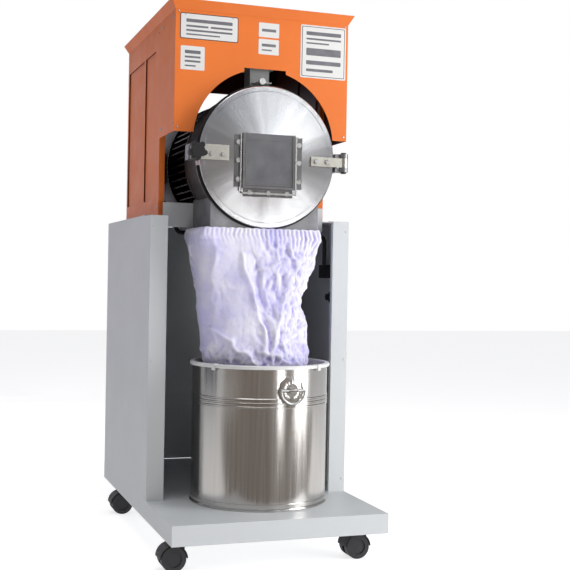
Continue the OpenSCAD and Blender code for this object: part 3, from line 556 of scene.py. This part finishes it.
SIDE_SPOTS = ((-180, 1128), (-180, 905), (-70, 1128), (-70, 905),
              (-40, 735), (300, 735), (-40, 1122), (300, 1122))
FRONT_SPOTS = ((-188, 1139), (188, 1139), (-188, 896), (188, 896), (-70, 1133), (-173, 1133))
domes("hood_side_screws", [((side * 195.05, y, z), (side, 0, 0)) for side in (-1, 1) for y, z in SIDE_SPOTS],
      3.2, 1.5, ZINC, "stand")
domes("hood_front_screws", [((x, FRONT - 0.05, z), (0, -1, 0)) for x, z in FRONT_SPOTS],
      2.2, 1.0, ZINC, "stand")
domes("flange_screws", [((side * 222, -137.05, z), (0, -1, 0)) for side in (-1, 1) for z in (130, 400, 690)],
      2.6, 1.1, WHITE, "stand")


# ---------------------------------------------------------------- bin: seams, seal, handle plates, foot band
BIN = (14.0, -162.0)    # x and y of the bin's axis
BIN_CENTRE = (BIN[0], BIN[1], 0)
WALL = 146.9            # the wall's outer radius
HANDLE_HEIGHT = 351.0


def on_bin(az, z, r):
    """A point at angle az, height z and radius r round the bin."""
    a = math.radians(az)
    return Vector((BIN[0] + r * math.cos(a), BIN[1] + r * math.sin(a), z))


def seam(name, az, z0, z1):
    """A low weld bead up the wall."""
    v, f = [], []
    n = 28
    for i in range(n + 1):
        z = z0 + (z1 - z0) * i / n
        for da, dr in ((-0.8, -0.1), (-0.3, 0.2), (0.3, 0.2), (0.8, -0.1)):
            v.append(on_bin(az + da, z, WALL + dr) * MM)
    for i in range(n):
        for j in range(3):
            a = i * 4 + j
            f.append((a, a + 1, a + 5, a + 4))
    return obj_from(name, v, f, STAINLESS, True, "bin")


SEAL = [(144.2, 383), (145.6, 383), (145.6, 396), (144.3, 400.4), (143.0, 401.2), (142.2, 400.2),
        (142.8, 397), (144.2, 394)]
SEAM_ANGLE = 251.0
lathe("bin_ring_seal", SEAL, BIN_CENTRE, "z", NYLON, "bin")
seam("bin_weld_seam", SEAM_ANGLE, 118, 310)
seam("bin_weld_seam_top", SEAM_ANGLE, 336, 392)


def rosette(name, turn):
    """Scalloped cast plate lying on the bin wall behind the drop handle."""
    az0 = turn - 90
    v, f = [], []
    rings, n = 6, 72
    size, wrap = 29.0, 148.0
    cz = HANDLE_HEIGHT - 2

    def spot(rad, a, r):
        return on_bin(az0 + math.degrees(rad * math.cos(a) / wrap), cz + rad * math.sin(a) * 1.02, r) * MM

    for j in range(rings + 1):
        t = j / rings
        for i in range(n):
            a = 2 * math.pi * i / n
            lift = 2.4 * (1 - t ** 3) + 0.9 * t * (1 - t) * abs(math.cos(10 * a)) * 4 * 0.5
            v.append(spot(size * t * (1 + 0.08 * abs(math.cos(5 * a)) * t), a, 147.3 + lift))
    for j in range(rings):
        for i in range(n):
            a, b = j * n + i, j * n + (i + 1) % n
            f.append((a, b, b + n, a + n))
    base = len(v)
    for i in range(n):
        a = 2 * math.pi * i / n
        v.append(spot(size * (1 + 0.08 * abs(math.cos(5 * a))), a, WALL))
    for i in range(n):
        a, b = rings * n + i, rings * n + (i + 1) % n
        f.append((a, b, base + (i + 1) % n, base + i))
    o = obj_from(name, v, f, STAINLESS, True, "bin")
    o.data.set_sharp_from_angle(angle=math.radians(40))
    return o


BIN_TURN = 9.0
rosette("rosette_front", BIN_TURN)
rosette("rosette_rear", BIN_TURN + 180)
lathe("bin_foot_band", [(WALL, 101.3), (149.2, 101.5), (149.6, 103.4), (148.6, 105.6), (147.3, 107.2)],
      BIN_CENTRE, "z", STAINLESS, "bin")


# ---------------------------------------------------------------- filter sleeve
# height, centre x and y, half width, half depth, and how square the section is (2 is an ellipse)
ROWS = np.array([
    [687, -5, -149.5, 130, 79, 20], [672, -5.5, -149.5, 136, 80, 18], [661, -5, -150, 139, 80.8, 6.5],
    [648, -4.7, -150, 141, 82, 4.2], [628, -4, -151, 140, 82, 3.4], [604, -4.7, -152, 134, 81, 3],
    [582, -7, -153, 126, 79, 2.8], [556, -11, -155, 116, 78, 2.6], [528, -11, -157, 114.5, 78, 2.4],
    [498, -6, -159, 117, 80, 2.3], [462, 1, -161, 119, 83, 2.2], [430, 3, -162, 118, 87, 2.1],
    [404, 6, -162, 117, 89, 2], [374, 9, -162, 114, 91, 2]], float)[::-1]
SIDES, LEVELS = 384, 132
TOP, LOW = 687.0, 374.0
FRONT_HALF = -150.0     # y where the front half of the sleeve begins
HEM = 13.0


def around(z, n):
    """Points evenly spaced by arc length round the sleeve at height z, starting at the back."""
    cx, cy, a, b, p = (np.interp(z, ROWS[:, 0], ROWS[:, k]) for k in range(1, 6))
    t = np.linspace(0, 2 * np.pi, 1441)[:-1] + np.pi / 2
    x = cx + a * np.sign(np.cos(t)) * np.abs(np.cos(t)) ** (2 / p)
    y = cy + b * np.sign(np.sin(t)) * np.abs(np.sin(t)) ** (2 / p)
    d = np.hypot(np.diff(np.append(x, x[0])), np.diff(np.append(y, y[0])))
    s = np.concatenate([[0], np.cumsum(d)])
    u = np.arange(n) / n * s[-1]
    return np.interp(u, s, np.append(x, x[0])), np.interp(u, s, np.append(y, y[0]))


# drawn folds of the front: start x and drop, end x and drop, height and half width, all in mm
FOLDS = [(-112, 22, -98, 300, 4.5, 14), (-62, 34, -52, 200, -3.0, 40), (-46, 62, -22, 150, 6.0, 9),
         (-26, 140, -2, 214, 7.0, 9), (-6, 204, 8, 292, 6.5, 9), (-24, 60, 16, 280, -6.5, 13),
         (92, 78, 46, 150, 8.0, 11), (50, 142, 12, 258, 8.0, 11), (114, 92, 44, 226, -7.5, 14),
         (-20, 92, 34, 74, 5.0, 8), (30, 84, 100, 56, 5.0, 9), (-104, 212, -66, 246, 5.0, 8),
         (-70, 240, -14, 290, 6.0, 9), (70, 150, 44, 214, 6.5, 10), (42, 208, 26, 292, 5.5, 9),
         (98, 150, 62, 292, -6.0, 12), (110, 170, 94, 300, 5.5, 9), (30, 36, 22, 132, 4.5, 8),
         (62, 44, 72, 100, 5.0, 8), (-8, 100, 6, 168, 4.0, 8), (34, 246, 96, 300, 6.0, 8),
         (-8, 262, 60, 282, 5.0, 7), (56, 232, 112, 206, 4.5, 8), (78, 118, 116, 130, 4.5, 8)]


def bulge(x, y, z):
    """How far the cloth stands off its section: the hem under the gathering, then soft rumples."""
    drop = TOP - z
    hem = 1.1 * (1 - (drop / HEM) ** 4) if drop < HEM else 0.0
    broad = noise.noise((x / 46 + y / 60, drop / 70 + x / 120, 5.0 + y / 80))
    middle = noise.noise((x / 21 - drop / 55, drop / 26 + x / 60, 9.0 + y / 40))
    fine = noise.noise((x / 11 + drop / 30, drop / 15, 2.0 + y / 20))
    free = min(1.0, drop / 40) * min(1.0, (z - LOW) / 30 + 0.4)
    busy = min(1.0, max(0.1, (x + 60) / 90, (drop - 225) / 60)) if y < FRONT_HALF else 0.7
    return hem + free * (5.0 * broad + busy * (4.6 * (0.35 - abs(middle)) + 1.7 * (0.3 - abs(fine))))


def weave_uv(o, face_count):
    """Unrolls the tube, so that the weave runs round and down it."""
    uv = o.data.uv_layers.new(name="weave")
    loops = np.zeros(len(o.data.loops), dtype=np.int64)
    o.data.loops.foreach_get("vertex_index", loops)
    face_of = np.repeat(np.arange(face_count), 4)
    col = (loops % SIDES).astype(float)
    col[(face_of % SIDES == SIDES - 1) & (loops % SIDES == 0)] = SIDES
    row = loops // SIDES
    uvs = np.stack([col * (860 / SIDES), row * (321 / LEVELS)], -1) * 0.9
    uv.data.foreach_set("uv", uvs.astype(np.float32).ravel())


def sleeve():
    zs = np.linspace(TOP, LOW, LEVELS)
    co = np.zeros((LEVELS, SIDES, 3))
    for k, z in enumerate(zs):
        co[k, :, 0], co[k, :, 1] = around(z, SIDES)
        co[k, :, 2] = z
    along = np.roll(co, -1, 1) - np.roll(co, 1, 1)
    outward = np.stack([-along[..., 1], along[..., 0], np.zeros_like(along[..., 0])], -1)
    outward /= np.linalg.norm(outward, axis=-1, keepdims=True)
    centre = np.array([0.0, -152.0])
    if ((co[10, :, :2] - centre) * outward[10, :, :2]).sum() < 0:
        outward = -outward
    disp = np.array([[bulge(x, y, z) for x, y, z in level] for level in co])
    lim = np.interp(zs, [LOW, 396, 430, 600, 670, TOP], [8, 8, 10, 10, 5, 2.2])[:, None]
    disp = lim * np.tanh(disp / lim)
    co += outward * disp[..., None]
    # the gathered edge rises and falls a little
    drop = (TOP - zs)[:, None]
    gathers, edge = 46, HEM + 1
    wave = 0.9 * np.sin(np.arange(SIDES) * 2 * np.pi * gathers / SIDES)[None, :]
    co[..., 2] += np.where(drop < edge, wave * (1 - drop / edge), 0)
    co[..., 2] = np.minimum(co[..., 2], TOP + 0.3)
    faces = []
    for k in range(LEVELS - 1):
        for i in range(SIDES):
            a, b = k * SIDES + i, k * SIDES + (i + 1) % SIDES
            faces.append((a, a + SIDES, b + SIDES, b))
    o = obj_from("filter_sleeve", co.reshape(-1, 3) * MM, faces, CLOTH, True, None)
    weave_uv(o, len(faces))
    return o


def settle(o, frames=11):
    """Short cloth run between the held ends; half of its sag is kept, smoothed round the sleeve."""
    group = o.vertex_groups.new(name="held")
    last = LEVELS - 1
    held = ((0, 1.0), (1, 1.0), (2, 0.9), (3, 0.5), (4, 0.25),
            (last, 1.0), (last - 1, 1.0), (last - 2, 0.8), (last - 3, 0.4))
    for k, weight in held:
        group.add([k * SIDES + i for i in range(SIDES)], weight, "REPLACE")
    m = o.modifiers.new("cloth", "CLOTH")
    c = m.settings
    c.quality = 4
    c.mass = 0.18
    c.air_damping = 3.0
    c.tension_stiffness = c.compression_stiffness = 18
    c.shear_stiffness = 8
    c.bending_stiffness = 0.22
    c.tension_damping = c.compression_damping = c.shear_damping = 6
    c.bending_damping = 0.6
    c.vertex_group_mass = "held"
    c.pin_stiffness = 2.0
    c.shrink_min = c.shrink_max = -0.02
    c.effector_weights.gravity = 0.35
    m.collision_settings.use_collision = False
    m.point_cache.frame_start = 1
    m.point_cache.frame_end = frames
    sc = bpy.context.scene
    for frame_number in range(1, frames + 1):
        sc.frame_set(frame_number)
    dg = bpy.context.evaluated_depsgraph_get()
    ev = o.evaluated_get(dg)
    co = np.zeros(len(o.data.vertices) * 3, np.float32)
    ev.data.vertices.foreach_get("co", co)
    o.modifiers.remove(m)
    rest = np.zeros_like(co)
    o.data.vertices.foreach_get("co", rest)
    sag = (co - rest).reshape(LEVELS, SIDES, 3)
    for _ in range(6):
        sag = (np.roll(sag, 2, 1) + np.roll(sag, -2, 1) + np.roll(sag, 1, 1) + np.roll(sag, -1, 1) + sag) / 5
    o.data.vertices.foreach_set("co", rest + (0.5 * sag.ravel()).astype(np.float32))
    o.data.update()
    sc.frame_set(1)


def zigzag(v):
    v = v % 1.0
    return 4 * abs(v - 0.5) - 1


def pleat(x, drop, s):
    """Small gathers under the spout, s of the way round, which run further down on the right."""
    pleats = 84
    right = min(1.0, max(0.0, (x + 60) / 160))
    reach = 17 + 46 * right * (0.55 + 0.9 * noise.noise((s * 31, 1.0, 4.0)))
    fall = math.exp(-(drop / reach) ** 1.7) * min(1.0, 0.25 + drop / 8)
    wave = math.sin(2 * math.pi * pleats * s + 2.4 * noise.noise((s * 26, drop / 30, 3.1)))
    return (0.7 + 1.9 * abs(noise.noise((s * 40, drop / 18, 0.3))) + 0.8 * right) * fall * wave


def drawn_folds(x, z):
    """The folds of FOLDS, each steeper on one side than on the other, along slightly wavering lines."""
    drop = TOP - z
    wx = x + 9 * noise.noise((x / 30, drop / 30, 1.0))
    wt = drop + 9 * noise.noise((x / 30, drop / 30, 7.0))
    total = 0.0
    for x0, t0, x1, t1, height, width in FOLDS:
        ex, et = x1 - x0, t1 - t0
        h = max(0.0, min(1.0, ((wx - x0) * ex + (wt - t0) * et) / (ex * ex + et * et)))
        px, pt = wx - x0 - h * ex, wt - t0 - h * et
        side = 0.55 if px * et - pt * ex > 0 else 1.25
        e = math.hypot(px, pt) / (width * side * (0.7 + 0.5 * math.sin(math.pi * h)))
        if e < 4:
            swell = 0.4 + 0.6 * math.sin(math.pi * (0.15 + 0.7 * h))
            total += height * math.exp(-e ** 1.25) * swell * min(1.0, (z - 384) / 20)
    return total


def creases(x, y, drop):
    """Small sharp creases that cross each other."""
    w1 = noise.noise((x / 38, y / 38, drop / 42))
    w2 = noise.noise((x / 30 + 9, y / 30, drop / 34 + 5))
    w3 = noise.noise((x / 55 - 4, y / 55, drop / 60 - 3))
    a = zigzag((x + 0.62 * drop) / 47 + 0.9 * w1) * max(0.0, 0.5 + 1.4 * w2)
    b = zigzag((x - 0.55 * drop) / 39 + 0.9 * w2) * max(0.0, 0.5 + 1.4 * w1)
    c = zigzag((drop + 0.3 * x) / 34 + 1.1 * w3) * max(0.0, 0.3 + 1.5 * w3)
    return 1.9 * a + 1.7 * b + 0.9 * c + 0.8 * noise.noise((x / 7, y / 7, drop / 8))


def crumple(o):
    """Pleats, drawn folds and small sharp creases over the settled cloth."""
    n = len(o.data.vertices)
    co = np.zeros(n * 3, np.float32)
    nr = np.zeros(n * 3, np.float32)
    o.data.vertices.foreach_get("co", co)
    o.data.vertices.foreach_get("normal", nr)
    co, nr = co.reshape(-1, 3).astype(float), nr.reshape(-1, 3).astype(float)
    out = np.zeros(n)
    for i in range(n):
        x, y, z = co[i] * 1000
        drop = TOP - z
        if drop < 2:
            continue
        out[i] = pleat(x, drop, (i % SIDES) / SIDES)
        free = min(1.0, drop / 45) * min(1.0, (z - LOW + 12) / 30)
        if y < FRONT_HALF:
            out[i] += drawn_folds(x, z)
            free *= 1.45 * min(1.0, max(0.16, (x + 40) / 60, (drop - 225) / 50))
        out[i] += free * creases(x, y, drop)
    out = np.clip(out, -9, 9)
    co += nr * out[:, None] * MM
    co[:, 2] = np.minimum(co[:, 2], (TOP + 0.3) * MM)
    o.data.vertices.foreach_set("co", co.astype(np.float32).ravel())
    o.data.update()


bag = sleeve()
settle(bag)
crumple(bag)
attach(bag, "stand")
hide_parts("filter_bag")
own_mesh(bag)


# ---------------------------------------------------------------- stage and light
FLOOR_GLOW, FLOOR_BOUNCE = 0.72, 0.6
CARD_ROWS = 16


def stage_mesh(name, verts, faces):
    """A mesh of the stage with its own plain material; gives the object and its nodes."""
    me = bpy.data.meshes.new(name)
    me.from_pydata(verts, [], faces)
    o = bpy.data.objects.new(name, me)
    bpy.context.collection.objects.link(o)
    m, nt, b = new_mat(name)
    me.materials.append(m)
    return o, nt, b


def floor():
    corners = [(-7, -5, 0), (7, -5, 0), (7, 9, 0), (-7, 9, 0)]
    _, nt, b = stage_mesh("floor", corners, [(0, 1, 2, 3)])
    b.inputs["Base Color"].default_value = (0.62, 0.62, 0.62, 1)
    b.inputs["Roughness"].default_value = 0.8
    b.inputs["Specular IOR Level"].default_value = 0.1
    b.inputs["Emission Color"].default_value = (1, 1, 1, 1)
    # the floor looks pale to the camera but throws less light back up
    path = nt.nodes.new("ShaderNodeLightPath")
    glow = node(nt, "ShaderNodeMath", operation="MULTIPLY_ADD")
    glow.inputs[1].default_value = FLOOR_GLOW * (1 - FLOOR_BOUNCE)
    glow.inputs[2].default_value = FLOOR_GLOW * FLOOR_BOUNCE
    nt.links.new(path.outputs["Is Camera Ray"], glow.inputs[0])
    nt.links.new(glow.outputs[0], b.inputs["Emission Strength"])


def arc_card(name, az0, az1, rad, z0, z1, col):
    """An upright curved card round the bin that gives the metal something to reflect."""
    v, f = [], []
    for i in range(CARD_ROWS + 1):
        a = math.radians(az0 + (az1 - az0) * i / CARD_ROWS)
        for z in (z0, z1):
            v.append((BIN[0] * MM + rad * math.sin(a), BIN[1] * MM - rad * math.cos(a), z))
    for i in range(CARD_ROWS):
        f.append((2 * i, 2 * i + 2, 2 * i + 3, 2 * i + 1))
    o, _, b = stage_mesh(name, v, f)
    b.inputs["Base Color"].default_value = (0, 0, 0, 1)
    b.inputs["Specular IOR Level"].default_value = 0.0
    b.inputs["Emission Color"].default_value = (*col, 1)
    b.inputs["Emission Strength"].default_value = 1.0
    o.visible_camera = False


def low_card():
    """A dim card just over the floor in front, seen only in reflections."""
    corners = [(-2.4, -3.5, 0.004), (2.4, -3.5, 0.004), (2.4, -0.45, 0.004), (-2.4, -0.45, 0.004)]
    o, _, b = stage_mesh("card_low", corners, [(0, 1, 2, 3)])
    b.inputs["Base Color"].default_value = (0.02, 0.02, 0.02, 1)
    b.inputs["Roughness"].default_value = 0.8
    b.inputs["Specular IOR Level"].default_value = 0.1
    b.inputs["Emission Color"].default_value = (0.20, 0.175, 0.155, 1)
    b.inputs["Emission Strength"].default_value = 1.0
    o.visible_camera = False
    o.visible_diffuse = False
    o.visible_shadow = False


def studio_world():
    """White behind the object, and a dimmer, slightly blue light from all round."""
    w = bpy.data.worlds.new("studio")
    bpy.context.scene.world = w
    w.use_nodes = True
    nt = w.node_tree
    around_light = nt.nodes["Background"]
    around_light.inputs[0].default_value = (0.93, 0.95, 1.0, 1)
    around_light.inputs[1].default_value = 0.30
    backdrop = node(nt, "ShaderNodeBackground")
    backdrop.inputs[0].default_value = (1, 1, 1, 1)
    backdrop.inputs[1].default_value = 1.0
    path = nt.nodes.new("ShaderNodeLightPath")
    mix = nt.nodes.new("ShaderNodeMixShader")
    nt.links.new(path.outputs["Is Camera Ray"], mix.inputs[0])
    nt.links.new(around_light.outputs[0], mix.inputs[1])
    nt.links.new(backdrop.outputs[0], mix.inputs[2])
    nt.links.new(mix.outputs[0], nt.nodes["World Output"].inputs["Surface"])


def area_light(name, place, target, width, height, power):
    d = bpy.data.lights.new(name, "AREA")
    d.shape = "RECTANGLE"
    d.size, d.size_y, d.energy = width, height, power
    o = bpy.data.objects.new(name, d)
    bpy.context.collection.objects.link(o)
    o.location = place
    o.rotation_euler = (Vector(target) - Vector(place)).to_track_quat("-Z", "Y").to_euler()


DRUM_FACE = (0, -0.2, 0.84)
floor()
arc_card("card_front", -78, 33, 3.5, 0.02, 1.5, (0.25, 0.215, 0.19))
arc_card("card_left", -138, -92, 2.4, 0.1, 1.2, (0.10, 0.11, 0.14))
arc_card("card_back", -177, -142, 2.8, 0.2, 1.7, (0.74, 0.70, 0.80))
low_card()
studio_world()
area_light("key", (2.0, -1.55, 1.0), (0, -0.15, 0.6), 1.0, 2.0, 46)
area_light("strip", (0.87, -2.9, 1.75), DRUM_FACE, 0.20, 0.9, 2.2)
area_light("corner", (1.25, -2.5, 1.48), DRUM_FACE, 0.20, 0.30, 1.1)
area_light("low", (0.80, -2.75, 0.22), DRUM_FACE, 0.34, 0.40, 3.8)
area_light("top", (-0.2, -0.4, 3.0), (0, 0, 0.6), 1.6, 1.6, 26)
bpy.context.scene.view_settings.view_transform = "Standard"
